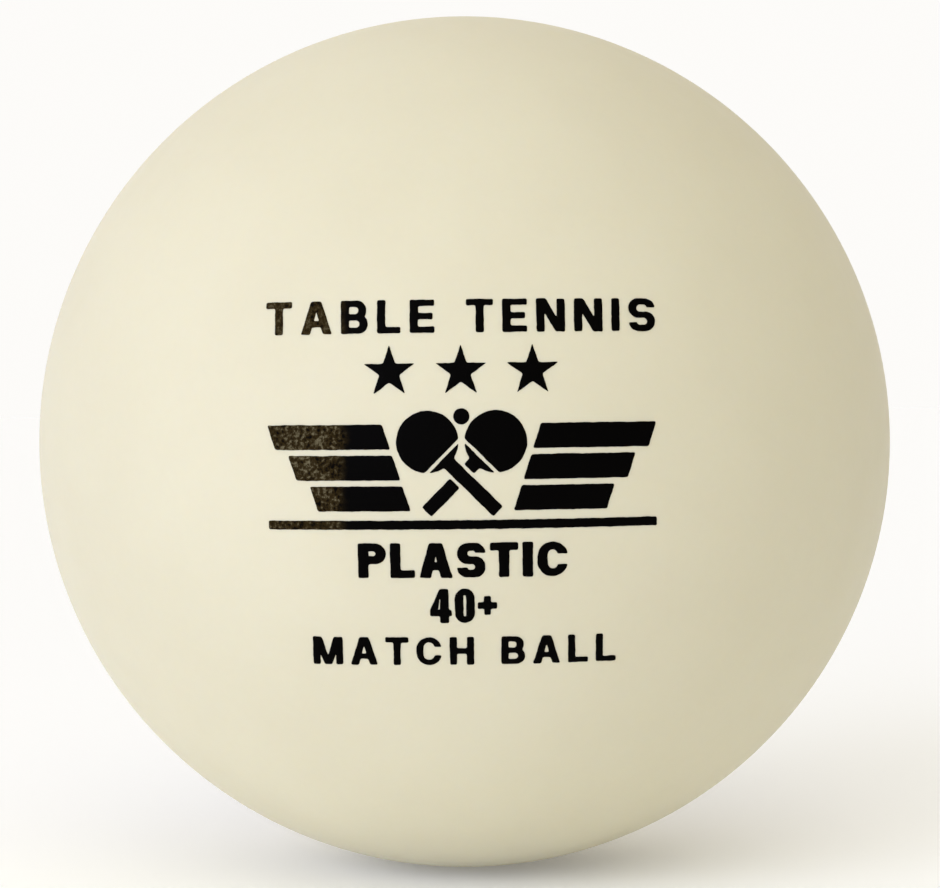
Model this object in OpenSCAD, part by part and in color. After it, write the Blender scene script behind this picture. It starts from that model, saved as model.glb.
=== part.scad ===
// Table tennis ball, 40+ class, two-piece moulded ball with a pad-printed face.
// Frame: origin at the centre of the ball, +Z up, the printed face looks along -Y.
// The seam lies in the XZ plane, so the halves are a printed front and a plain rear.
// Units are millimetres.

/* [Ball] */
// Outer diameter of the finished ball
ball_d = 40.3; // [40:0.05:40.6]
// Wall thickness of both half shells
wall_t = 0.5; // [0.4:0.01:0.6]

/* [Seam] */
// Radial thickness of the spigot ring inside the front half
spigot_t = 0.3; // [0.2:0.01:0.5]
// How far the spigot reaches past the seam into the rear half
spigot_reach = 1.1; // [0.6:0.1:2]
// How far the spigot's root runs back along the front wall
spigot_root = 1.3; // [0.8:0.1:2]
// Lead-in bevel on the tip of the spigot
lead_in = 0.12; // [0.05:0.01:0.15]
// Bevel on the outer edge of each rim
rim_bevel = 0.04; // [0.02:0.01:0.08]
// Thickness of the cured cement between the halves
cement_t = 0.03; // [0.02:0.01:0.05]
// Leg of the cement bead squeezed out at the spigot's tip
bead_leg = 0.2; // [0.1:0.01:0.3]

/* [Print] */
// Thickness of the ink films
ink_t = 0.03; // [0.02:0.01:0.05]
// Height of the capitals in the top line
top_cap = 1.37; // [1.2:0.01:1.5]
// Overall width of the top line
top_w = 16.1; // [15:0.1:17]
// Tip radius of each grade star
star_r = 1.11; // [0.9:0.01:1.3]
// Spacing of the grade stars
star_pitch = 2.92; // [2.6:0.01:3.4]
// Overall width of the emblem and its base bar
emblem_w = 16; // [15:0.1:17]
// Height of the capitals in the bold line
bold_cap = 1.44; // [1.2:0.01:1.5]
// Overall width of the bold line
bold_w = 8.6; // [8.4:0.1:10]
// Height of the figures in the size mark
size_cap = 1.44; // [1.2:0.01:1.5]
// Overall width of the size mark
size_w = 2.75; // [2.7:0.05:3.6]
// Height of the capitals in the bottom line
bottom_cap = 1.2; // [1:0.01:1.35]
// Overall width of the bottom line
bottom_w = 12.6; // [11.5:0.1:14]

/* [Hidden] */

// Segments of the ball's great circles, and of the print's small arcs
ball_fn = 360;
print_fn = 48;
$fn = print_fn;

shell_colour = [0.93, 0.90, 0.80];
cement_colour = [0.88, 0.82, 0.62];
ink_colour = [0.07, 0.07, 0.07];

outer_r = ball_d / 2;
inner_r = outer_r - wall_t;
// Spherical faces of the spigot, which follows the inside of the rear half
spigot_outer_r = inner_r - cement_t;
spigot_inner_r = spigot_outer_r - spigot_t;
// Where the lead-in bevel leaves the spigot's outer face: height, and distance from the axis
bevel_y = lead_in - spigot_reach;
bevel_r = sqrt(pow(spigot_outer_r, 2) - pow(bevel_y, 2));
// Each rim stands back from the seam plane by half the cement's thickness
rim_y = cement_t / 2;
// Cured cement ends just below the skin of the ball
cement_r = outer_r - rim_bevel / 2;
// Slope of the spigot's root, radial run for each step along the axis
root_taper = 1.5;
// Largest width that any cutting block needs
reach = ball_d;

// Baselines of the print's lines, and the centre of the star row
top_base = 4.8;
star_y = 3.22;
emblem_base = -3.2;
bold_base = -5.2;
size_base = -7.1;
bottom_base = -8.9;

// Stroke of a line of letters as a part of its capital height
plain_weight = 0.25;
bold_weight = 0.3;
// Thickness of a level stroke as a part of an upright one
level_ratio = 0.76;

// ---------------------------------------------------------------- shells

// One quadrant of a spherical wall, as a section to spin about the Y axis of the sketch
module wall_section(r_out, r_in, y_low, y_high) {
    intersection() {
        difference() {
            circle(r = r_out, $fn = ball_fn);
            circle(r = r_in, $fn = ball_fn);
        }
        translate([0, y_low]) square([reach, y_high - y_low]);
    }
}

// Bevel that is cut from the outer corner of a rim
module rim_bevel_section() {
    translate([outer_r, rim_y]) rotate(45)
        square(rim_bevel * sqrt(2), center = true);
}

// Wall shared by both halves, with its rim just off the seam plane
module half_section() {
    difference() {
        wall_section(outer_r, inner_r, rim_y, outer_r);
        rim_bevel_section();
    }
}

// Spigot ring: a root inside the front wall and a tongue that passes the seam
module spigot_section() {
    root_slope = spigot_root * root_taper;
    difference() {
        union() {
            wall_section(spigot_outer_r, spigot_inner_r, -spigot_reach, spigot_root);
            wall_section(inner_r + wall_t / 2, spigot_inner_r, rim_y, spigot_root);
        }
        // tapered run-out of the root, so that the mould core can leave it
        translate([spigot_inner_r - spigot_root, spigot_root])
            polygon([[0, 0], [spigot_root + spigot_t + cement_t, 0],
                     [spigot_root - spigot_t / 2, -root_slope / 2], [0, -root_slope / 2]]);
        // lead-in on the tongue's outer corner
        translate([bevel_r, -spigot_reach]) rotate(45)
            square(lead_in * sqrt(2), center = true);
    }
}

// Cement: film between the rims, film around the tongue and a bead at its tip
module cement_section() {
    wall_section(cement_r, spigot_outer_r, -rim_y, rim_y);
    wall_section(inner_r, spigot_outer_r, bevel_y, rim_y);
    intersection() {
        circle(r = inner_r, $fn = ball_fn);
        translate([bevel_r, bevel_y])
            polygon([[0, 0], [wall_t, 0], [wall_t, -lead_in - bead_leg],
                     [0, -lead_in - bead_leg], [-lead_in, -lead_in]]);
    }
}

// Spins a section about the ball's Y axis, with its dome towards -Y
module spin_front() {
    rotate([90, 0, 0]) rotate_extrude($fn = ball_fn) children();
}

// Spins a section about the ball's Y axis, with its dome towards +Y
module spin_rear() {
    rotate([-90, 0, 0]) rotate_extrude($fn = ball_fn) children();
}

module front_half_shell() {
    color(shell_colour) spin_front() {
        half_section();
        spigot_section();
    }
}

module rear_half_shell() {
    color(shell_colour) spin_rear() half_section();
}

module seam_cement() {
    color(cement_colour) spin_front() cement_section();
}

// ---------------------------------------------------------------- lettering

// Box with round corners, from the origin
module round_box(w, h, r) {
    if (w > 2 * r) translate([r, 0]) square([w - 2 * r, h]);
    if (h > 2 * r) translate([0, r]) square([w, h - 2 * r]);
    for (x = [r, w - r], y = [r, h - r]) translate([x, y]) circle(r = r);
}

// Outline of a box with fully round ends; uprights are s thick, level strokes t
module loop(w, h, s, t) {
    inner_w = w - 2 * s;
    inner_h = h - 2 * t;
    difference() {
        round_box(w, h, min(w, h) / 2);
        translate([s, t]) round_box(inner_w, inner_h, min(inner_w, inner_h) / 2);
    }
}

// Bowl of a letter: square on the left, round on the right
module bowl(w, h, s, t) {
    side = w / 2;
    difference() {
        union() {
            square([side, h]);
            round_box(w, h, h / 2);
        }
        translate([s, t]) {
            square([side - s, h - 2 * t]);
            round_box(w - 2 * s, h - 2 * t, h / 2 - t);
        }
    }
}

// Upright stroke, with its left edge at x
module stem(x, h, s) {
    translate([x, 0]) square([s, h]);
}

// Level stroke, with its lower edge at y
module bar(y, w, t) {
    translate([0, y]) square([w, t]);
}

module letter_a(w, h, s, t) {
    foot = s * 1.12;
    half_top = s * 0.62;
    crotch_y = h - 1.25 * s;
    bar_y = h * 0.22;
    bar_inset = w * 0.2;
    polygon([[0, 0], [foot, 0], [w / 2, crotch_y], [w - foot, 0], [w, 0],
             [w / 2 + half_top, h], [w / 2 - half_top, h]]);
    translate([bar_inset, bar_y]) square([w - 2 * bar_inset, t]);
}

module letter_b(w, h, s, t) {
    bowl_h = (h + t) / 2;
    upper_w = w * 0.95;
    bowl(w, bowl_h, s, t);
    translate([0, h - bowl_h]) bowl(upper_w, bowl_h, s, t);
}

module letter_c(w, h, s, t) {
    mouth = h * 0.3;
    difference() {
        loop(w, h, s, t);
        translate([w / 2, (h - mouth) / 2]) square([w, mouth]);
    }
}

module letter_e(w, h, s, t) {
    middle_w = w * 0.92;
    stem(0, h, s);
    bar(0, w, t);
    bar((h - t) / 2, middle_w, t);
    bar(h - t, w, t);
}

module letter_h(w, h, s, t) {
    stem(0, h, s);
    stem(w - s, h, s);
    bar((h - t) / 2, w, t);
}

module letter_l(w, h, s, t) {
    stem(0, h, s);
    bar(0, w, t);
}

module letter_m(w, h, s, t) {
    shoulder = s * 1.25;
    point = s * 0.5;
    crotch_y = s * 1.3;
    inner_y = h * (1 - s / (w / 2 - point));
    polygon([[0, 0], [s, 0], [s, inner_y], [w / 2 - point, 0], [w / 2 + point, 0],
             [w - s, inner_y], [w - s, 0], [w, 0], [w, h], [w - shoulder, h],
             [w / 2, crotch_y], [shoulder, h], [0, h]]);
}

module letter_n(w, h, s, t) {
    shoulder = s * 1.15;
    nick = h * s / (w - shoulder);
    polygon([[0, 0], [s, 0], [s, h - nick], [w - shoulder, 0], [w, 0], [w, h],
             [w - s, h], [w - s, nick], [shoulder, h], [0, h]]);
}

module letter_p(w, h, s, t) {
    bowl_h = h * 0.6;
    stem(0, h, s);
    translate([0, h - bowl_h]) bowl(w, bowl_h, s, t);
}

// Upper loop of an S, open on the right below its terminal
module s_hook(w, loop_h, s, t) {
    mouth = t + (loop_h - 2 * t) * 0.6;
    spine_x = w * 0.55;
    difference() {
        loop(w, loop_h, s, t);
        translate([spine_x, 0]) square([w, mouth]);
    }
}

module letter_s(w, h, s, t) {
    loop_h = (h + t) / 2;
    translate([0, h - loop_h]) s_hook(w, loop_h, s, t);
    translate([w, loop_h]) rotate(180) s_hook(w, loop_h, s, t);
}

module letter_t(w, h, s, t) {
    stem((w - s) / 2, h, s);
    bar(h - t, w, t);
}

module figure_4(w, h, s, t) {
    arm_y = h * 0.2;
    arm_top = arm_y + t;
    stem_x = w * 0.86 - s;
    stem(stem_x, h, s);
    bar(arm_y, w, t);
    difference() {
        polygon([[0, arm_y], [stem_x + s, arm_y], [stem_x + s, h], [stem_x, h], [0, arm_top]]);
        polygon([[s * 0.9, arm_top], [stem_x, arm_top], [stem_x, h - s * 1.1]]);
    }
}

module plus_sign(w, h, s, t) {
    translate([0, (h - w) / 2]) {
        stem((w - t) / 2, w, t);
        bar((w - t) / 2, w, t);
    }
}

// Width of each sign as a part of the capital height
sign_widths = [["A", 0.95], ["B", 0.82], ["C", 0.88], ["E", 0.74], ["H", 0.84],
               ["L", 0.7], ["M", 1.05], ["N", 0.86], ["P", 0.8], ["S", 0.82],
               ["T", 0.8], ["4", 0.62], ["0", 0.57], ["+", 0.55], [" ", 0.4]];

// Width of one sign; a plain upright is one stroke wide
function sign_w(c, h, s) =
    c == "I" ? s : [for (entry = sign_widths) if (entry[0] == c) entry[1] * h][0];

// One sign with its lower left corner at the origin
module sign(c, w, h, s, t) {
    if (c == "A") letter_a(w, h, s, t);
    else if (c == "B") letter_b(w, h, s, t);
    else if (c == "C") letter_c(w, h, s, t);
    else if (c == "E") letter_e(w, h, s, t);
    else if (c == "H") letter_h(w, h, s, t);
    else if (c == "I") stem(0, h, s);
    else if (c == "L") letter_l(w, h, s, t);
    else if (c == "M") letter_m(w, h, s, t);
    else if (c == "N") letter_n(w, h, s, t);
    else if (c == "P") letter_p(w, h, s, t);
    else if (c == "S") letter_s(w, h, s, t);
    else if (c == "T") letter_t(w, h, s, t);
    else if (c == "4") figure_4(w, h, s, t);
    else if (c == "0") loop(w, h, s, t);
    else if (c == "+") plus_sign(w, h, s, t);
}

// Summed width of the first n signs of a line, without the gaps
function run_w(line, n, h, s) =
    n == 0 ? 0 : run_w(line, n - 1, h, s) + sign_w(line[n - 1], h, s);

// A line of signs spread to a set width and centred over x = 0
module line_art(line, base, total_w, h, weight) {
    s = h * weight;
    gap = (total_w - run_w(line, len(line), h, s)) / (len(line) - 1);
    for (i = [0:len(line) - 1])
        translate([run_w(line, i, h, s) + i * gap - total_w / 2, base])
            sign(line[i], sign_w(line[i], h, s), h, s, s * level_ratio);
}

// ---------------------------------------------------------------- emblem

// Five-pointed star with the notch depth of a true pentagram
module star_art(r) {
    notch_r = r * (3 - sqrt(5)) / 2;
    polygon([for (i = [0:9])
        let (a = 90 + i * 36, d = i % 2 == 0 ? r : notch_r)
        [d * cos(a), d * sin(a)]]);
}

// Sizes of the crossed bats, measured from the point where they cross
bat_tilt = 45;
bat_cross_y = 2.17;
blade_r = 1.27;
blade_dist = 1.97;
handle_w = 0.56;
handle_l = 2.06;
rubber_line = 0.13;
rubber_drop = 0.87;
bat_gap = 0.13;
small_ball_r = 0.33;
small_ball_y = 4.59;

// Outline of one upright bat, grown by g on all sides
module bat_outline(g) {
    translate([0, blade_dist]) circle(r = blade_r + g);
    translate([-handle_w / 2 - g, -handle_l - g])
        square([handle_w + 2 * g, handle_l + blade_dist + 2 * g]);
}

// One upright bat, with the edge of its rubber left open
module bat_art() {
    difference() {
        bat_outline(0);
        translate([-blade_r, blade_dist - rubber_drop - rubber_line / 2])
            square([2 * blade_r, rubber_line]);
    }
}

// Two bats crossed over each other with a ball between the blades
module crossed_bats_art() {
    translate([0, bat_cross_y]) {
        rotate(bat_tilt) bat_art();
        difference() {
            rotate(-bat_tilt) bat_art();
            rotate(bat_tilt) bat_outline(bat_gap);
        }
    }
    translate([0, small_ball_y]) circle(r = small_ball_r);
}

// Speed stripes on one side of the bats, each with slanted ends
stripe_count = 3;
stripe_h = 1.02;
stripe_gap = 0.24;
stripe_base = 0.75;
stripe_inner = 2.1;
stripe_step = 0.88;
stripe_slant = 0.32;
base_bar_h = 0.37;

module stripes_art() {
    run = stripe_slant * stripe_h;
    for (i = [0:stripe_count - 1]) {
        y = stripe_base + i * (stripe_h + stripe_gap);
        inner = stripe_inner + stripe_slant * (y - stripe_base);
        outer = emblem_w / 2 - (stripe_count - 1 - i) * stripe_step;
        polygon([[inner, y], [outer - run, y], [outer, y + stripe_h],
                 [inner + run, y + stripe_h]]);
    }
}

module emblem_art() {
    translate([0, emblem_base]) {
        translate([-emblem_w / 2, 0]) square([emblem_w, base_bar_h]);
        crossed_bats_art();
        stripes_art();
        mirror([1, 0]) stripes_art();
    }
}

// ---------------------------------------------------------------- ink films

// Lays flat artwork on the front of the ball as a film of ink
module ink_film() {
    color(ink_colour) intersection() {
        difference() {
            sphere(r = outer_r + ink_t, $fn = ball_fn);
            sphere(r = outer_r, $fn = ball_fn);
        }
        rotate([90, 0, 0]) linear_extrude(height = reach) children();
    }
}

module top_line_ink() {
    ink_film() line_art("TABLE TENNIS", top_base, top_w, top_cap, plain_weight);
}

module grade_stars_ink() {
    ink_film() for (i = [-1:1]) translate([i * star_pitch, star_y]) star_art(star_r);
}

module emblem_ink() {
    ink_film() emblem_art();
}

module bold_line_ink() {
    ink_film() line_art("PLASTIC", bold_base, bold_w, bold_cap, bold_weight);
}

module size_mark_ink() {
    ink_film() line_art("40+", size_base, size_w, size_cap, plain_weight);
}

module bottom_line_ink() {
    ink_film() line_art("MATCH BALL", bottom_base, bottom_w, bottom_cap, plain_weight);
}

front_half_shell();
rear_half_shell();
seam_cement();
top_line_ink();
grade_stars_ink();
emblem_ink();
bold_line_ink();
size_mark_ink();
bottom_line_ink();
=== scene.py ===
"""Looks of the table tennis ball: matte ivory half shells, a fine seam and a worn pad print.

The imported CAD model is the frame. Each of its nodes is stood for by a finer mesh built here:
the half shells are even quad domes with a rounded rim, the cement is a slightly uneven ring,
and each ink film is cut from its CAD node's own outline and laid on the ball with soft edges.
"""

import math

import bmesh
import bpy
import numpy as np
from mathutils import Matrix, Vector, noise
from mathutils.geometry import delaunay_2d_cdt


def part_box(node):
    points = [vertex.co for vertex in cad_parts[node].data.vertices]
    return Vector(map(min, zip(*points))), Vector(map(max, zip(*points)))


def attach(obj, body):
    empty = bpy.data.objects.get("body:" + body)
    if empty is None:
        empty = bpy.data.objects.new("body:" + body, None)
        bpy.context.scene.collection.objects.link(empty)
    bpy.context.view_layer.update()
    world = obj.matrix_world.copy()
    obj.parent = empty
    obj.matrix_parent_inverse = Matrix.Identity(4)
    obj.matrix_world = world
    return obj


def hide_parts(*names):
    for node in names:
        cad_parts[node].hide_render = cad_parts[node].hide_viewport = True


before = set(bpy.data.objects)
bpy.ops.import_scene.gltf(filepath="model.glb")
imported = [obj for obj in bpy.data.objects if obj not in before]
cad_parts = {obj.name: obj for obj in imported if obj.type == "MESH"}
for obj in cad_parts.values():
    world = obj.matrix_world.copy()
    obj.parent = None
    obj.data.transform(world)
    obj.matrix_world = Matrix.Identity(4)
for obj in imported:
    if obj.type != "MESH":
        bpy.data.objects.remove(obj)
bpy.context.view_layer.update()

MM = 0.001


# ---------------------------------------------------------------- sizes from the frame

def node_radii(node):
    """Smallest and largest distance of a CAD node's surface from the ball's centre."""
    lengths = [v.co.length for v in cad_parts[node].data.vertices]
    return min(lengths), max(lengths)


inner_r, outer_r = node_radii("rear_half_shell")
spigot_inner_r = node_radii("front_half_shell")[0]
cement_outer_r = node_radii("seam_cement")[1]
film_t = node_radii("emblem_ink")[1] - outer_r
rim_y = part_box("rear_half_shell")[0].y
spigot_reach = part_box("front_half_shell")[1].y
cement_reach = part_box("seam_cement")[1].y
spigot_outer_r = inner_r - 2 * rim_y     # the cement's film is twice rim_y thick

# ---------------------------------------------------------------- driving values

DOME_STEPS = 72              # squares along a quarter turn of a shell
SEAM_TOLERANCE = 1e-6        # a unit direction this near the seam plane lies in it
RIM_BEVEL = 0.04 * MM        # rounded outer edge of each rim
RIM_HOLD = 0.03 * MM         # plain strip kept beside the bevel
SPIGOT_ROOT = 1.3 * MM       # how far the spigot's root runs back along the front wall
SPIGOT_TAPER = 0.5 * MM      # run-out of that root
LEAD_IN = 0.12 * MM          # bevel on the spigot's tip
SEAM_SINK = 0.012 * MM       # shrinkage of the skin beside the seam
SEAM_SINK_WIDTH = 0.9 * MM
SEAM_WOBBLE = 0.006 * MM     # unevenness of the ground seam
WOBBLE_TURNS = 3             # how quickly that unevenness changes round the seam
BEVEL_STEPS = 3              # strips round a bevel or a bead
TONGUE_STEPS = 4             # strips along the spigot's outer face
ROOT_STEPS = 6               # strips along the spigot's inner face
LAP_STEPS = 5                # strips along the cement's outer face

WELD_DISTANCE = 0.001 * MM   # points of a CAD film nearer than this are one
MERGE_DISTANCE = 1e-5        # the same for its triangulation, in millimetres
NO_ZERO = 1e-12              # keeps a division away from zero
OUTLINE_STEP = 0.06 * MM     # spacing of points along an ink film's edge
OUTLINE_PASSES = 2           # how often that edge is smoothed
LATTICE_STEP = 0.13 * MM     # spacing of points inside an ink film
LATTICE_CLEAR = 0.55         # their least distance from the edge, in steps
INK_SPREAD = 0.018 * MM      # raggedness of a film's edge
RAGGED_COARSE = 2.2          # waves of that raggedness for each millimetre
RAGGED_FINE = 7
RAGGED_FINE_SHARE = 0.6
FILM_EDGE = 0.35             # thickness of a film's edge, as a part of the CAD film
FILM_MEAN = 0.85             # mean thickness inside, and how far it varies
FILM_SPREAD = 0.15
FILM_WAVES = 1.5             # waves of that variation for each millimetre
FILM_ROOT = SEAM_SINK / 4    # how far a film's back face reaches into the plastic
INK_NODES = ["top_line_ink", "grade_stars_ink", "emblem_ink", "bold_line_ink",
             "size_mark_ink", "bottom_line_ink"]

CAMERA_DISTANCE = 130 * MM
CAMERA_AZIMUTH = 0.37        # degrees, to the right of the print's own axis
CAMERA_ELEVATION = 1.03      # degrees above the print's axis
CAMERA_ROLL = -0.65          # degrees
BALL_SHARE = 0.905           # the ball's width as a part of the picture's width
AIM_RIGHT = 0.0125           # aim off the ball's centre, as parts of its radius
AIM_DOWN = 0.0057
SENSOR_WIDTH = 36            # millimetres, as the camera's own setting

FLOOR_RADIUS = 3.0           # wide enough that no view meets its edge near the ball
FLOOR_SIDES = 96
FLOOR_LOW = (0.950, 0.965, 0.985)    # how much of the light the white floor gives back
FLOOR_HIGH = (0.960, 0.975, 0.995)
FLOOR_GLOW = (0.108, 0.106, 0.105)   # light that the floor's lit panel adds
PAPER_TOOTH = 3 * MM


# ---------------------------------------------------------------- mesh helpers

SHARP_ANGLE = math.radians(40)


def new_object(name, bm, material):
    """Turns a bmesh into a smooth-shaded object with one material."""
    bmesh.ops.recalc_face_normals(bm, faces=bm.faces)
    mesh = bpy.data.meshes.new(name)
    bm.to_mesh(mesh)
    bm.free()
    mesh.materials.append(material)
    mesh.shade_smooth()
    mesh.set_sharp_from_angle(angle=SHARP_ANGLE)
    obj = bpy.data.objects.new(name, mesh)
    bpy.context.scene.collection.objects.link(obj)
    return obj


def dome_directions(steps):
    """Unit directions and quads of a half sphere towards -Y, made from half a cube.

    Squares are even in angle, so the edge at y = 0 is a ring of 4 * steps even points."""
    index, directions, quads = {}, [], []

    def point(p):
        d = Vector(p).normalized()
        key = tuple(round(c, 6) for c in d)
        if key not in index:
            index[key] = len(directions)
            directions.append(d)
        return index[key]

    def patch(place, columns, rows):
        for i in range(columns):
            for j in range(rows):
                corners = ((i, j), (i + 1, j), (i + 1, j + 1), (i, j + 1))
                quads.append([point(place(a, b)) for a, b in corners])

    def tangent(k):
        return math.tan(math.pi / 2 * k / steps - math.pi / 4)

    half = steps // 2
    patch(lambda i, j: (tangent(i), -1, tangent(j)), steps, steps)
    for turn in range(4):
        spin = Matrix.Rotation(turn * math.pi / 2, 3, "Y")
        patch(lambda i, j: spin @ Vector((1, -tangent(half + j), tangent(i))), steps, half)
    return directions, quads


DIRECTIONS, QUADS = dome_directions(DOME_STEPS)
RING = sorted((i for i, d in enumerate(DIRECTIONS) if abs(d.y) < SEAM_TOLERANCE),
              key=lambda i: math.atan2(DIRECTIONS[i].z, DIRECTIONS[i].x))
RING_ANGLES = [math.atan2(DIRECTIONS[i].z, DIRECTIONS[i].x) for i in RING]


def add_dome(bm, radius_at, side):
    """Adds a dome and returns its edge ring; radius_at gives the radius for a direction."""
    verts = []
    for d in DIRECTIONS:
        d = Vector((d.x, d.y * -side, d.z))
        verts.append(bm.verts.new(d * radius_at(d)))
    for quad in QUADS:
        bm.faces.new([verts[i] for i in quad])
    return [verts[i] for i in RING]


def add_ring(bm, radius_at, y):
    """Adds one ring of points round the Y axis; radius_at gives the radius for an angle."""
    ring = []
    for a in RING_ANGLES:
        r = radius_at(a)
        ring.append(bm.verts.new((r * math.cos(a), y, r * math.sin(a))))
    return ring


def bridge(bm, lower, upper):
    """Closes the strip between two rings with quads."""
    count = len(lower)
    for i in range(count):
        j = (i + 1) % count
        bm.faces.new((lower[i], lower[j], upper[j], upper[i]))


def on_sphere(radius, y):
    """Distance from the Y axis of a sphere's surface at height y."""
    return math.sqrt(radius * radius - y * y)


# ---------------------------------------------------------------- half shells

def skin_radius(d):
    """Outer radius of a shell, drawn in slightly beside the seam."""
    y = d.y * outer_r
    return outer_r - SEAM_SINK * math.exp(-(y / SEAM_SINK_WIDTH) ** 2)


def wobble(angle, seed):
    """Slow unevenness round the seam, between -1 and 1."""
    x, z = WOBBLE_TURNS * math.cos(angle), WOBBLE_TURNS * math.sin(angle)
    return noise.noise(Vector((x, z, seed)))


def rim_profile(side):
    """Rings from the skin round the bevel to the flat of the rim, as (radius, y) pairs."""
    edge_r = outer_r - SEAM_SINK
    points = [(edge_r, rim_y + RIM_BEVEL)]
    for k in range(1, BEVEL_STEPS + 1):
        a = math.pi / 2 * k / BEVEL_STEPS
        points.append((edge_r - RIM_BEVEL * (1 - math.cos(a)),
                       rim_y + RIM_BEVEL * (1 - math.sin(a))))
    return [(r, side * y) for r, y in points]


def spigot_profile():
    """Rings round the spigot from the rim's shoulder, over the tip and back to the root."""
    tip = spigot_reach
    points = [(on_sphere(spigot_outer_r, -rim_y), -rim_y)]
    for k in range(TONGUE_STEPS + 1):
        y = (tip - LEAD_IN) * k / TONGUE_STEPS
        points.append((on_sphere(spigot_outer_r, y), y))
    points.append((on_sphere(spigot_outer_r, tip) - LEAD_IN, tip))
    points.append((on_sphere(spigot_inner_r, tip), tip))
    for k in range(1, ROOT_STEPS + 1):
        y = tip + (-SPIGOT_ROOT - tip) * k / ROOT_STEPS
        points.append((on_sphere(spigot_inner_r, y), y))
    return points


def shell(name, side, inner_profile, inner_edge_y, material):
    """One half shell: skin, bevelled rim, inner profile and inner wall, all closed."""
    bm = bmesh.new()
    ring = add_dome(bm, skin_radius, side)
    hold_y = side * (rim_y + RIM_BEVEL + RIM_HOLD)
    for v, a in zip(ring, RING_ANGLES):
        r = on_sphere(outer_r - SEAM_SINK, hold_y)
        v.co = (r * math.cos(a), hold_y, r * math.sin(a))
    for r, y in rim_profile(side) + inner_profile:
        following = add_ring(bm, lambda a: r + SEAM_WOBBLE * wobble(a, side), y)
        bridge(bm, ring, following)
        ring = following
    inner_ring = add_dome(bm, lambda d: inner_r, side)
    for v, a in zip(inner_ring, RING_ANGLES):
        r = on_sphere(inner_r, inner_edge_y)
        v.co = (r * math.cos(a), inner_edge_y, r * math.sin(a))
    bridge(bm, ring, inner_ring)
    return new_object(name, bm, material)


def front_shell(material):
    """The printed half, with the spigot inside its rim."""
    edge_y = -SPIGOT_ROOT - SPIGOT_TAPER
    return shell("front_shell", -1, spigot_profile(), edge_y, material)


def rear_shell(material):
    """The plain half, which sleeves over the spigot."""
    return shell("rear_shell", 1, [(on_sphere(inner_r, rim_y), rim_y)], rim_y * 2, material)


# ---------------------------------------------------------------- seam cement

def cement_profile():
    """Closed section of the cement: butt film, lap film and the bead at the spigot's tip."""
    tip = spigot_reach
    points = [(cement_outer_r, -rim_y), (cement_outer_r, rim_y)]
    for k in range(LAP_STEPS + 1):
        y = rim_y + (cement_reach - rim_y) * k / LAP_STEPS
        points.append((on_sphere(inner_r, y), y))
    wall_r, lip_r = points[-1][0], on_sphere(spigot_outer_r, tip) - LEAD_IN
    for k in range(1, BEVEL_STEPS + 1):
        a = math.pi / 2 * k / BEVEL_STEPS
        points.append((wall_r - (wall_r - lip_r) * math.sin(a) ** 2,
                       tip + (cement_reach - tip) * (1 - math.sin(a))))
    for k in range(TONGUE_STEPS + 1):
        y = (tip - LEAD_IN) * (1 - k / TONGUE_STEPS)
        points.append((on_sphere(spigot_outer_r, y), y))
    points.append((on_sphere(spigot_outer_r, -rim_y), -rim_y))
    return points


def cement_ring(material):
    """The cured cement, its ground outer face a little uneven round the seam."""
    bm = bmesh.new()
    rings = [add_ring(bm, lambda a: r + SEAM_WOBBLE * wobble(a, k), y)
             for k, (r, y) in enumerate(cement_profile())]
    for lower, upper in zip(rings, rings[1:] + rings[:1]):
        bridge(bm, lower, upper)
    return new_object("cement_ring", bm, material)


# ---------------------------------------------------------------- ink films

def film_outlines(node):
    """Closed outlines of a CAD ink film's outer face, as arrays of (x, z) points."""
    bm = bmesh.new()
    bm.from_mesh(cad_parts[node].data)
    bmesh.ops.remove_doubles(bm, verts=bm.verts, dist=WELD_DISTANCE)
    middle = outer_r + film_t / 2
    bmesh.ops.delete(bm, geom=[v for v in bm.verts if v.co.length < middle], context="VERTS")
    following = {}
    for edge in bm.edges:
        if edge.is_boundary:
            corner = edge.link_loops[0]
            following[corner.vert.index] = corner.link_loop_next.vert.index
    points = {v.index: (v.co.x, v.co.z) for v in bm.verts}
    outlines = []
    while following:
        start, here = next(iter(following.items()))
        loop = [start]
        del following[start]
        while here != start:
            loop.append(here)
            here = following.pop(here)
        outlines.append(np.array([points[i] for i in loop]))
    bm.free()
    return outlines


def resample(outline, step):
    """The same outline with points no further apart than step."""
    pieces = []
    for a, b in zip(outline, np.roll(outline, -1, axis=0)):
        count = max(1, math.ceil(np.linalg.norm(b - a) / step))
        pieces.append(a + (b - a) * np.arange(count)[:, None] / count)
    return np.vstack(pieces)


def soften(outline, passes):
    """Rounds the corners, as ink does when it spreads."""
    for _ in range(passes):
        outline = (np.roll(outline, 1, axis=0) + 2 * outline + np.roll(outline, -1, axis=0)) / 4
    return outline


def roughen(outline):
    """Moves each point a little across the edge, by a coarse and a fine noise."""
    along = np.roll(outline, -1, axis=0) - np.roll(outline, 1, axis=0)
    across = np.stack([along[:, 1], -along[:, 0]], axis=1)
    across /= np.linalg.norm(across, axis=1)[:, None] + NO_ZERO
    shift = []
    for x, z in outline:
        p = Vector((x, z, 0)) / MM
        shift.append(noise.noise(p * RAGGED_COARSE)
                     + RAGGED_FINE_SHARE * noise.noise(p * RAGGED_FINE))
    return outline + across * np.array(shift)[:, None] * INK_SPREAD


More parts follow.
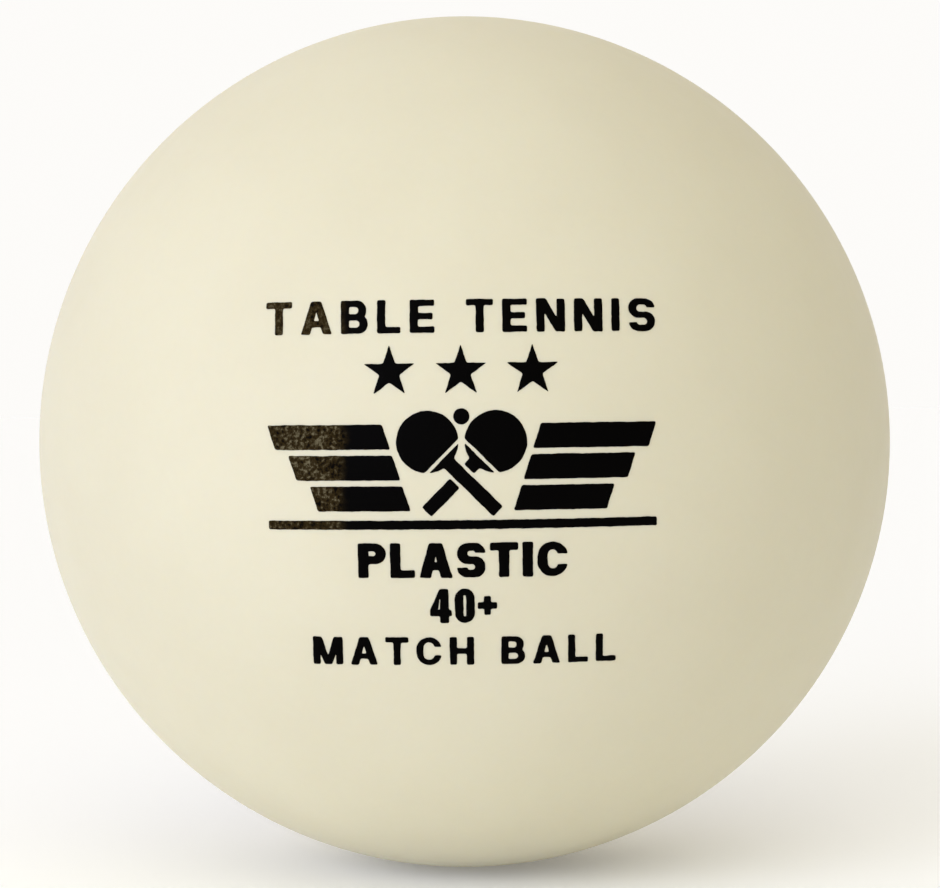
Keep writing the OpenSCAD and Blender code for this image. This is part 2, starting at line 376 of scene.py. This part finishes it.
def inside(points, outlines):
    """Even-odd test of many points against all outlines at once."""
    hits = np.zeros(len(points), int)
    x, z = points[:, :1], points[:, 1:]
    for outline in outlines:
        a, b = outline, np.roll(outline, -1, axis=0)
        crosses = (a[:, 1] > z) != (b[:, 1] > z)
        rise = np.where(b[:, 1] == a[:, 1], NO_ZERO, b[:, 1] - a[:, 1])
        at_x = a[:, 0] + (z - a[:, 1]) * (b[:, 0] - a[:, 0]) / rise
        hits += (crosses & (x < at_x)).sum(axis=1)
    return hits % 2 == 1


def lattice(outlines, step):
    """Points of a triangular lattice that lie inside the film and clear of its edge."""
    edge = np.vstack(outlines)
    low, high = edge.min(axis=0), edge.max(axis=0)
    rows = []
    for j, z in enumerate(np.arange(low[1], high[1], step * math.sqrt(3) / 2)):
        x = np.arange(low[0] + (j % 2) * step / 2, high[0], step)
        rows.append(np.stack([x, np.full(len(x), z)], axis=1))
    grid = np.vstack(rows)
    grid = grid[inside(grid, outlines)]
    clear = [np.min(np.abs(edge - p).max(axis=1)) > step * LATTICE_CLEAR for p in grid]
    return grid[clear]


def film_mesh(outlines):
    """Flat, even triangles that fill the outlines, as points and triples of their indices."""
    edge = np.vstack(outlines)
    points = np.vstack([edge, lattice(outlines, LATTICE_STEP)])
    constraints, first = [], 0
    for outline in outlines:
        count = len(outline)
        constraints += [(first + i, first + (i + 1) % count) for i in range(count)]
        first += count
    verts, _, faces, _, _, _ = delaunay_2d_cdt([Vector(p) for p in points / MM],
                                              constraints, [], 0, MERGE_DISTANCE)
    flat = np.array([v[:] for v in verts]) * MM
    triangles = np.array([f for f in faces if len(f) == 3])
    keep = inside(flat[triangles].mean(axis=1), outlines)
    return flat, triangles[keep]


def lift(x, z, radius):
    """Puts a point of the flat artwork on the front of a sphere."""
    return Vector((x, -math.sqrt(radius * radius - x * x - z * z), z))


def film_thickness(x, z, on_edge):
    """Thin at the edge, and slightly uneven where the pad has pressed."""
    if on_edge:
        return film_t * FILM_EDGE
    unevenness = noise.noise(Vector((x, z, 0)) / MM * FILM_WAVES)
    return film_t * (FILM_MEAN + FILM_SPREAD * unevenness)


def rim_edges(triangles):
    """Edges that only one triangle uses."""
    uses = {}
    for a, b, c in triangles:
        for pair in ((a, b), (b, c), (c, a)):
            key = tuple(sorted(pair))
            uses[key] = uses.get(key, 0) + 1
    return [key for key, count in uses.items() if count == 1]


def ink_film(node, material):
    """One ink film as a closed skin on the ball, cut from its CAD node's outline."""
    outlines = [roughen(soften(resample(o, OUTLINE_STEP), OUTLINE_PASSES))
                for o in film_outlines(node)]
    flat, triangles = film_mesh(outlines)
    edge_pairs = rim_edges(triangles)
    on_edge = {i for pair in edge_pairs for i in pair}
    bm = bmesh.new()
    top = [bm.verts.new(lift(x, z, outer_r + film_thickness(x, z, i in on_edge)))
           for i, (x, z) in enumerate(flat)]
    base = [bm.verts.new(lift(x, z, outer_r - FILM_ROOT)) for x, z in flat]
    for a, b, c in triangles:
        bm.faces.new((top[a], top[b], top[c]))
        bm.faces.new((base[c], base[b], base[a]))
    for a, b in edge_pairs:
        bm.faces.new((top[a], top[b], base[b], base[a]))
    loose = [v for v in bm.verts if not v.link_faces]
    bmesh.ops.delete(bm, geom=loose, context="VERTS")
    return new_object(node.replace("_ink", "_print"), bm, material)


# ---------------------------------------------------------------- materials

IVORY_LIGHT = (0.730, 0.684, 0.506)
IVORY_DEEP = (0.697, 0.648, 0.472)
CLOUD_SIZE = 9 * MM                   # faint cloudiness of the moulded plastic
CLOUD_RANGE = (0.3, 0.7)
GRAIN_SIZE = 0.4 * MM                 # fine grain of its tumbled skin
GRAIN_SHARE = 0.45                    # how much of the tone follows the grain
GRAIN_BUMP = 0.5
GRAIN_DEPTH = 0.012 * MM
POLISH_SIZE = 2.5 * MM                # patches of duller and of shinier skin
POLISH_RANGE = (0.25, 0.75)
SKIN_ROUGHNESS = (0.52, 0.64)
SKIN_IOR = 1.5
SKIN_GLOSS = 0.35
SCATTER_WEIGHT = 0.25                 # light that the thin wall lets through
SCATTER_COLOUR = (1.0, 0.75, 0.45)
SCATTER_DEPTH = 0.8 * MM

CEMENT_TONE = (0.54, 0.46, 0.30)
CEMENT_PATCH = 1.2 * MM               # cleaner and yellower stretches of the cement
CEMENT_RANGE = (0.3, 0.7)
CEMENT_ROUGHNESS = (0.35, 0.5)
CEMENT_GRAIN = 0.2 * MM
CEMENT_BUMP = 0.3
CEMENT_DEPTH = 0.005 * MM

INK_BLACK = (0.0009, 0.0007, 0.0006)
INK_WORN = (0.024, 0.015, 0.004)      # ink laid a little thin looks brown
INK_THIN = (0.135, 0.115, 0.066)      # the plastic shows through the thinnest specks
INK_ROUGHNESS = (0.55, 0.65)          # of full ink and of thin ink
INK_GLOSS = 0.02
INK_GRAIN = 0.12 * MM
INK_BUMP = 0.3
INK_DEPTH = 0.004 * MM
THIN_FROM = -4.8 * MM                 # the pad pressed lightly left of here
THIN_TO = -4.2 * MM                   # and fully right of here
THIN_LOW = (-3.7 * MM, -3.3 * MM)     # but fully on the lines below the emblem
THIN_HIGH = (4.2 * MM, 4.7 * MM)      # and less lightly from here up, on the top line
THIN_TOP_SHARE = 0.5                  # bare specks left there, as a part of those below
THIN_RAGGED = 0.9 * MM                # size and reach of the waves in the zone's edge
THIN_SHIFT = 0.8 * MM
MOTTLE_FINE = 0.17 * MM               # specks of the thin ink
MOTTLE_COARSE = 1.3 * MM              # and the slower change over them
MOTTLE_SHARE = 0.78                   # share of the fine specks in the mottle
WORN_RANGE = (0.36, 0.50)             # mottle at which black ink turns brown
BARE_RANGE = (0.50, 0.68)             # and at which brown ink turns bare


class Nodes:
    """Shorthand for building one material's node tree."""

    def __init__(self, name):
        self.material = bpy.data.materials.new(name)
        self.material.use_nodes = True
        self.tree = self.material.node_tree
        self.shader = self.tree.nodes["Principled BSDF"]
        self.position = self.add("ShaderNodeTexCoord").outputs["Object"]

    def add(self, kind, **settings):
        node = self.tree.nodes.new(kind)
        for key, value in settings.items():
            setattr(node, key, value)
        return node

    def link(self, source, target):
        self.tree.links.new(source, target)

    def noise(self, size, detail=2, roughness=0.5):
        """Noise whose features are about size metres across, from 0 to 1."""
        node = self.add("ShaderNodeTexNoise")
        node.inputs["Scale"].default_value = 1 / size
        node.inputs["Detail"].default_value = detail
        node.inputs["Roughness"].default_value = roughness
        self.link(self.position, node.inputs["Vector"])
        return node.outputs["Fac"]

    def remap(self, value, low, high, to_low=0.0, to_high=1.0):
        """Value between low and high stretched to another range, with soft ends."""
        node = self.add("ShaderNodeMapRange", interpolation_type="SMOOTHSTEP")
        self.link(value, node.inputs["Value"])
        for key, number in zip(("From Min", "From Max", "To Min", "To Max"),
                               (low, high, to_low, to_high)):
            node.inputs[key].default_value = number
        return node.outputs["Result"]

    def math(self, operation, *values):
        """Result of one math node; each value is a number or a socket."""
        node = self.add("ShaderNodeMath", operation=operation)
        for value, socket in zip(values, node.inputs):
            if isinstance(value, (int, float)):
                socket.default_value = value
            else:
                self.link(value, socket)
        return node.outputs[0]

    def mix(self, factor, a, b):
        """Mix of two colours, each a socket or an (r, g, b)."""
        node = self.add("ShaderNodeMix", data_type="RGBA")
        self.link(factor, node.inputs["Factor"])
        sockets = [s for s in node.inputs if s.type == "RGBA"]
        for value, socket in zip((a, b), sockets):
            if isinstance(value, tuple):
                socket.default_value = (*value, 1)
            else:
                self.link(value, socket)
        return [s for s in node.outputs if s.type == "RGBA"][0]

    def bump(self, height, strength, distance):
        """Gives the shader a relief of the height socket, distance metres deep."""
        node = self.add("ShaderNodeBump")
        node.inputs["Strength"].default_value = strength
        node.inputs["Distance"].default_value = distance
        self.link(height, node.inputs["Height"])
        self.link(node.outputs["Normal"], self.shader.inputs["Normal"])


def ball_plastic():
    """Matte tumbled ABS: even ivory with a faint cloudiness and a very fine grain."""
    n = Nodes("ball_plastic")
    cloud = n.remap(n.noise(CLOUD_SIZE, detail=3), *CLOUD_RANGE)
    grain = n.noise(GRAIN_SIZE, detail=4, roughness=0.6)
    tone = n.math("MULTIPLY_ADD", grain, GRAIN_SHARE, n.math("MULTIPLY", cloud, 1 - GRAIN_SHARE))
    n.link(n.mix(tone, IVORY_DEEP, IVORY_LIGHT), n.shader.inputs["Base Color"])
    polish = n.noise(POLISH_SIZE, detail=4)
    n.link(n.remap(polish, *POLISH_RANGE, *SKIN_ROUGHNESS), n.shader.inputs["Roughness"])
    n.bump(grain, GRAIN_BUMP, GRAIN_DEPTH)
    n.shader.inputs["IOR"].default_value = SKIN_IOR
    n.shader.inputs["Specular IOR Level"].default_value = SKIN_GLOSS
    n.shader.inputs["Subsurface Weight"].default_value = SCATTER_WEIGHT
    n.shader.inputs["Subsurface Radius"].default_value = SCATTER_COLOUR
    n.shader.inputs["Subsurface Scale"].default_value = SCATTER_DEPTH
    return n.material


def cement():
    """Cured cement, slightly yellower and glossier than the plastic."""
    n = Nodes("seam_cement_cured")
    patch = n.remap(n.noise(CEMENT_PATCH, detail=3), *CEMENT_RANGE)
    n.link(n.mix(patch, CEMENT_TONE, IVORY_DEEP), n.shader.inputs["Base Color"])
    n.link(n.remap(patch, 0, 1, *CEMENT_ROUGHNESS), n.shader.inputs["Roughness"])
    n.bump(n.noise(CEMENT_GRAIN), CEMENT_BUMP, CEMENT_DEPTH)
    return n.material


def thin_zone(n):
    """Where the pad pressed lightly: 1 on the print's upper left, 0 elsewhere, and its height."""
    split = n.add("ShaderNodeSeparateXYZ")
    n.link(n.position, split.inputs["Vector"])
    ragged = n.math("MULTIPLY_ADD", n.noise(THIN_RAGGED, detail=3), THIN_SHIFT, split.outputs["X"])
    left = n.remap(ragged, THIN_FROM, THIN_TO, 1.0, 0.0)
    height = split.outputs["Z"]
    return n.math("MULTIPLY", left, n.remap(height, *THIN_LOW)), height


def pad_print_ink():
    """Matt black ink that the pad has laid thin and mottled on the print's left end."""
    n = Nodes("pad_print_ink")
    thin, height = thin_zone(n)
    lightest = n.remap(height, *THIN_HIGH, 1.0, THIN_TOP_SHARE)
    fine = n.noise(MOTTLE_FINE, detail=3, roughness=0.65)
    coarse = n.noise(MOTTLE_COARSE, detail=2)
    mottle = n.math("MULTIPLY_ADD", fine, MOTTLE_SHARE,
                    n.math("MULTIPLY", coarse, 1 - MOTTLE_SHARE))
    bare = n.math("MULTIPLY", n.math("MULTIPLY", thin, lightest), n.remap(mottle, *BARE_RANGE))
    worn = n.mix(n.remap(mottle, *WORN_RANGE), INK_BLACK, INK_WORN)
    patchy = n.mix(bare, worn, INK_THIN)
    n.link(n.mix(thin, INK_BLACK, patchy), n.shader.inputs["Base Color"])
    n.link(n.remap(thin, 0, 1, *INK_ROUGHNESS), n.shader.inputs["Roughness"])
    n.shader.inputs["Specular IOR Level"].default_value = INK_GLOSS
    n.bump(n.noise(INK_GRAIN, detail=3), INK_BUMP, INK_DEPTH)
    return n.material


def floor_white():
    """Plain matt white light table, with a barely visible paper tooth."""
    n = Nodes("studio_floor")
    tooth = n.noise(PAPER_TOOTH, detail=3)
    n.link(n.mix(tooth, FLOOR_LOW, FLOOR_HIGH), n.shader.inputs["Base Color"])
    n.shader.inputs["Roughness"].default_value = 1.0
    n.shader.inputs["Specular IOR Level"].default_value = 0.0
    n.shader.inputs["Emission Color"].default_value = (*FLOOR_GLOW, 1)
    n.shader.inputs["Emission Strength"].default_value = 1.0
    return n.material


# ---------------------------------------------------------------- stage, lights and camera

def add_floor(material):
    """A wide flat disc that the ball stands on."""
    bm = bmesh.new()
    bmesh.ops.create_circle(bm, cap_ends=True, segments=FLOOR_SIDES, radius=FLOOR_RADIUS)
    floor = new_object("floor", bm, material)
    floor.location.z = -outer_r


def from_angles(azimuth, elevation):
    """Direction seen from the ball's centre; azimuth 0 is in front, 90 is on the right."""
    a, e = math.radians(azimuth), math.radians(elevation)
    return Vector((math.sin(a) * math.cos(e), -math.cos(a) * math.cos(e), math.sin(e)))


LIGHTS = [
    # name, azimuth, elevation, degrees across, strength, colour
    ("key_left", -40, 5, 60, 3.28, (0.70, 0.755, 1.0)),
    ("top_fill", 0, 50, 60, 1.165, (1.0, 0.952, 0.718)),
]
ROOM_BRIGHT_FROM = (180, 0)          # azimuth and elevation of the room's bright side
ROOM_BRIGHT = (1.026, 0.981, 0.950)  # light from there; it falls to nothing opposite
SWEEP_TONE = (0.981, 0.968, 0.945)   # the floor's own tone, seen beyond its edge


def add_lights():
    """Very wide soft lights, as far away as the sun, so that they fall evenly."""
    for name, azimuth, elevation, spread, strength, colour in LIGHTS:
        data = bpy.data.lights.new(name, "SUN")
        data.angle = math.radians(spread)
        data.energy = strength
        data.color = colour
        lamp = bpy.data.objects.new(name, data)
        facing = (-from_angles(azimuth, elevation)).to_track_quat("-Z", "Y")
        lamp.rotation_euler = facing.to_euler()
        bpy.context.scene.collection.objects.link(lamp)


def room_light(tree):
    """Soft light from all round, which falls evenly from the bright side to the dark one."""
    side = tree.nodes.new("ShaderNodeVectorMath")
    side.operation = "DOT_PRODUCT"
    side.inputs[1].default_value = from_angles(*ROOM_BRIGHT_FROM)
    direction = tree.nodes.new("ShaderNodeTexCoord").outputs["Generated"]
    tree.links.new(direction, side.inputs[0])
    share = tree.nodes.new("ShaderNodeMapRange")
    share.inputs["From Min"].default_value = -1
    tree.links.new(side.outputs["Value"], share.inputs["Value"])
    room = tree.nodes["Background"]
    room.inputs["Color"].default_value = (*ROOM_BRIGHT, 1)
    tree.links.new(share.outputs["Result"], room.inputs["Strength"])
    return room.outputs["Background"]


def white_sweep(tree):
    """The even backdrop that the camera sees."""
    sweep = tree.nodes.new("ShaderNodeBackground")
    sweep.inputs["Color"].default_value = (*SWEEP_TONE, 1)
    return sweep.outputs["Background"]


def add_world():
    """A pale room that lights the ball, and that the camera sees as an endless white sweep."""
    world = bpy.data.worlds.new("studio")
    world.use_nodes = True
    tree = world.node_tree
    either = tree.nodes.new("ShaderNodeMixShader")
    seen = tree.nodes.new("ShaderNodeLightPath").outputs["Is Camera Ray"]
    tree.links.new(seen, either.inputs["Fac"])
    tree.links.new(room_light(tree), either.inputs[1])
    tree.links.new(white_sweep(tree), either.inputs[2])
    tree.links.new(either.outputs["Shader"], tree.nodes["World Output"].inputs["Surface"])
    bpy.context.scene.world = world


def add_camera():
    """A long lens close in front of the ball, just above the print's axis."""
    data = bpy.data.cameras.new("camera")
    data.sensor_fit = "HORIZONTAL"
    data.sensor_width = SENSOR_WIDTH
    half_angle = math.asin(outer_r / CAMERA_DISTANCE)
    data.lens = BALL_SHARE * SENSOR_WIDTH / (2 * math.tan(half_angle))
    camera = bpy.data.objects.new("camera", data)
    camera.location = CAMERA_DISTANCE * from_angles(CAMERA_AZIMUTH, CAMERA_ELEVATION)
    facing = (-camera.location).to_track_quat("-Z", "Y")
    right, up = facing @ Vector((1, 0, 0)), facing @ Vector((0, 1, 0))
    target = outer_r * (AIM_RIGHT * right - AIM_DOWN * up)
    facing = (target - camera.location).to_track_quat("-Z", "Y").to_matrix()
    roll = Matrix.Rotation(math.radians(CAMERA_ROLL), 3, "Z")
    camera.rotation_euler = (facing @ roll).to_euler()
    bpy.context.scene.collection.objects.link(camera)
    bpy.context.scene.camera = camera


# ---------------------------------------------------------------- assembly

def install(piece, node):
    """Hangs a piece on the root body and hides the CAD node that it stands for."""
    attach(piece, "root")
    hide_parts(node)


add_camera()
add_world()
add_lights()
add_floor(floor_white())

plastic = ball_plastic()
install(front_shell(plastic), "front_half_shell")
install(rear_shell(plastic), "rear_half_shell")
install(cement_ring(cement()), "seam_cement")
ink = pad_print_ink()
for ink_node in INK_NODES:
    install(ink_film(ink_node, ink), ink_node)

bpy.context.scene.view_settings.view_transform = "Standard"
